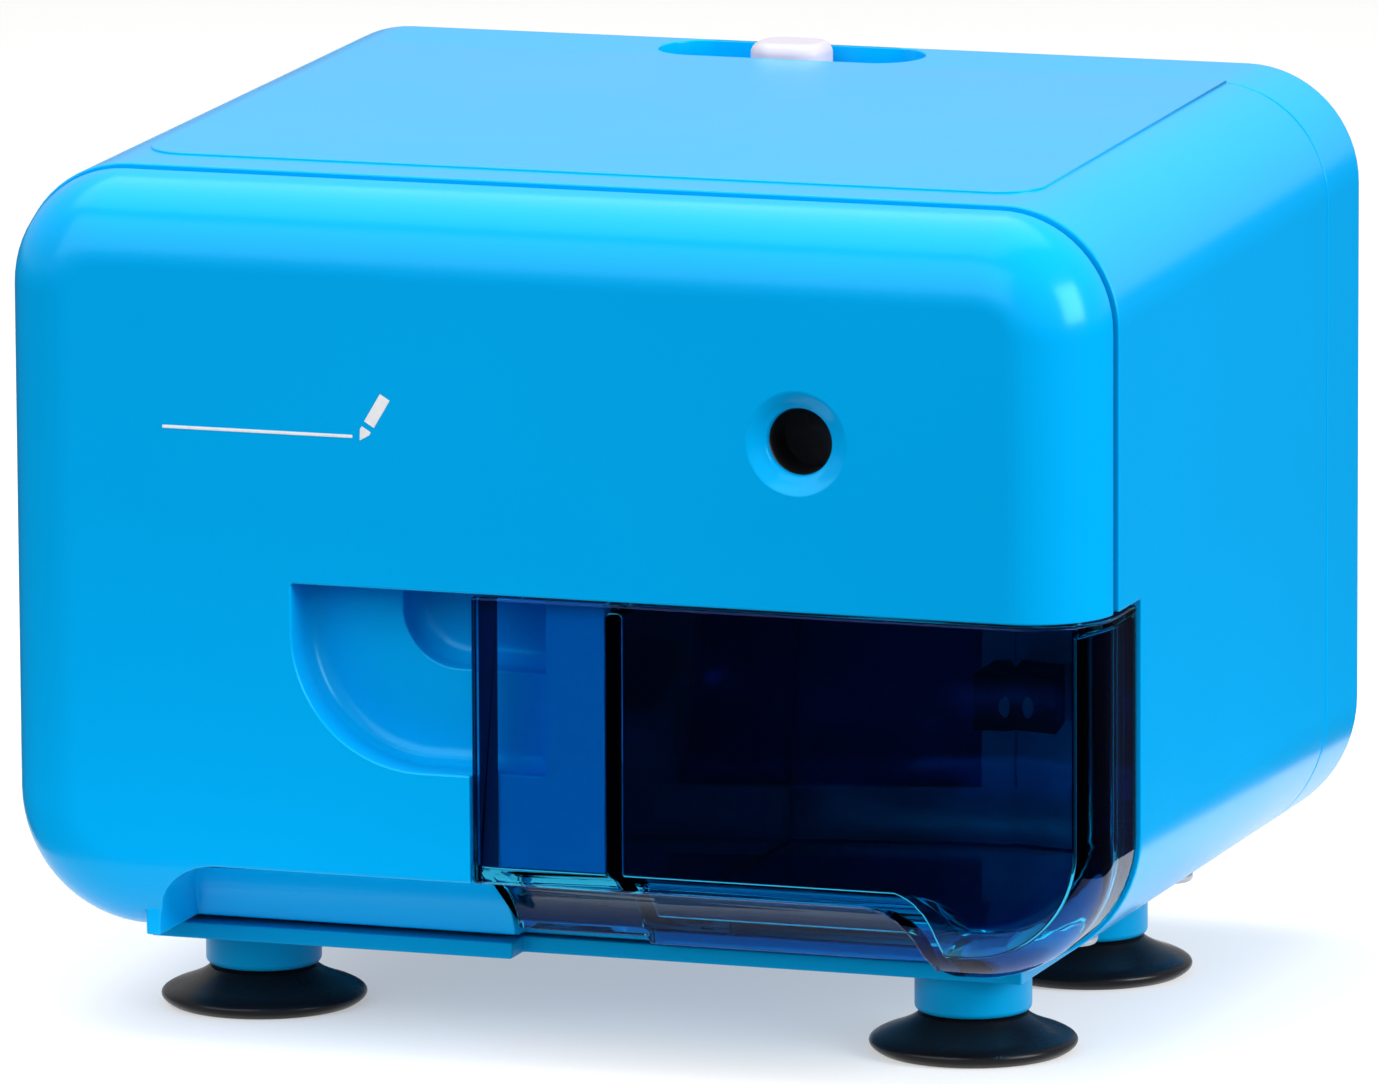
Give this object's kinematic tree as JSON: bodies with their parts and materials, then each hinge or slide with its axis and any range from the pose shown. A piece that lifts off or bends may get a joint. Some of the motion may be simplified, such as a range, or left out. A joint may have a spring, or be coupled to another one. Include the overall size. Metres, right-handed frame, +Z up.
{
  "type": "electric pencil sharpener",
  "caption": "Desktop electric pencil sharpener: rounded blue casing, front pencil hole, smoke drawer for shavings, sliding top selector, suction-cup feet and a geared spiral cutter inside.",
  "frame": {"origin": "on the surface it stands on, below the middle of its width and depth", "axes": "+X to the sharpener's right seen from the front, -Y out of the front face, +Z up"},
  "size_m": [0.155, 0.124, 0.1224],
  "materials": {
    "shell_blue": "gloss",
    "base_blue": "satin",
    "smoke_plastic": "gloss",
    "knob_white": "satin",
    "cup_rubber": "satin",
    "grommet_rubber": "matte",
    "zinc_screw": "satin",
    "plated_sheet": "satin",
    "bright_steel": "polished",
    "cutter_steel": "ground",
    "cast_carrier": "cast",
    "motor_steel": "plated",
    "black_plastic": "satin",
    "gear_plastic": "moulded",
    "brass": "satin",
    "board_green": "satin",
    "capacitor_blue": "gloss"
  },
  "bodies": {
    "casing": {"front_panel": "shell_blue", "main_housing": "shell_blue", "rear_cover": "shell_blue", "base_plate": "base_blue", "suction_cup_front_left": "cup_rubber", "suction_cup_front_right": "cup_rubber", "suction_cup_rear_left": "cup_rubber", "suction_cup_rear_right": "cup_rubber", "cord_grommet": "grommet_rubber", "rear_screw_1": "zinc_screw", "rear_screw_2": "zinc_screw", "rear_screw_3": "zinc_screw", "rear_screw_4": "zinc_screw", "base_screw_1": "zinc_screw", "base_screw_2": "zinc_screw", "base_screw_3": "zinc_screw", "base_screw_4": "zinc_screw", "motor_screw_1": "zinc_screw", "motor_screw_2": "zinc_screw", "chassis_plate": "plated_sheet", "gear_cover": "plated_sheet", "front_bracket": "plated_sheet", "frame_spacer_1": "bright_steel", "frame_spacer_2": "bright_steel", "frame_spacer_3": "bright_steel", "frame_spacer_4": "bright_steel", "gear_spacer_1": "bright_steel", "gear_spacer_2": "bright_steel", "gear_spacer_3": "bright_steel", "intermediate_axle": "bright_steel", "motor_can": "motor_steel", "motor_end_cap": "black_plastic", "pencil_guide": "black_plastic", "micro_switch": "black_plastic", "interlock_switch": "black_plastic", "ring_gear": "gear_plastic", "rear_bush": "brass", "control_board": "board_green", "terminal_block": "board_green", "filter_capacitor": "capacitor_blue"},
    "drawer": {"dust_box": "smoke_plastic"},
    "selector": {"selector_knob": "knob_white", "selector_slide": "gear_plastic"},
    "stop": {"pencil_stop": "bright_steel"},
    "carrier": {"cutter_carrier": "cast_carrier", "carrier_shaft": "bright_steel", "drive_gear": "gear_plastic", "cutter_axle": "bright_steel"},
    "cutter": {"helical_cutter": "cutter_steel", "cutter_pinion": "bright_steel"},
    "idler": {"intermediate_gear": "gear_plastic"},
    "rotor": {"motor_shaft": "bright_steel", "motor_pinion": "brass"},
    "lever": {"switch_lever": "black_plastic"},
    "plunger": {"interlock_plunger": "gear_plastic"}
  },
  "joints": [
    {"name": "drawer_slide", "type": "slide", "parent": "casing", "child": "drawer", "axis": [0, -1, 0], "range_m": [0, 0.09]},
    {"name": "selector_shift", "type": "slide", "parent": "casing", "child": "selector", "axis": [1, 0, 0], "range_m": [-0.0125, 0.0125]},
    {"name": "stop_shift", "type": "slide", "parent": "casing", "child": "stop", "axis": [0, 1, 0], "range_m": [-0.00105, 0.00105]},
    {"name": "carrier_spin", "type": "hinge", "parent": "casing", "child": "carrier", "pos_m": [0.0367, 0, 0.0868], "axis": [0, 1, 0], "continuous": true},
    {"name": "cutter_spin", "type": "hinge", "parent": "carrier", "child": "cutter", "pos_m": [0.0367, -0.0377, 0.0743], "axis": [0, 0.9816, 0.1908], "continuous": true},
    {"name": "idler_spin", "type": "hinge", "parent": "casing", "child": "idler", "pos_m": [0.00979, 0, 0.076], "axis": [0, 1, 0], "continuous": true},
    {"name": "rotor_spin", "type": "hinge", "parent": "casing", "child": "rotor", "pos_m": [-0.01495, 0, 0.084], "axis": [0, 1, 0], "continuous": true},
    {"name": "lever_hinge", "type": "hinge", "parent": "casing", "child": "lever", "pos_m": [0.0367, -0.05, 0.0945], "axis": [1, 0, 0], "range_deg": [0, 55], "stiffness_Nm_per_rad": 0.002, "springref_deg": -8.59},
    {"name": "plunger_slide", "type": "slide", "parent": "casing", "child": "plunger", "axis": [0, 1, 0], "range_m": [0, 0.0015], "stiffness_N_per_m": 150, "springref_m": -0.001}
  ],
  "couplings": [
    {"joint": "stop_shift", "follows": "selector_shift", "ratio": 0.08},
    {"joint": "cutter_spin", "follows": "carrier_spin", "ratio": -3.2727},
    {"joint": "idler_spin", "follows": "carrier_spin", "ratio": -3.1429},
    {"joint": "rotor_spin", "follows": "carrier_spin", "ratio": 10.476}
  ]
}
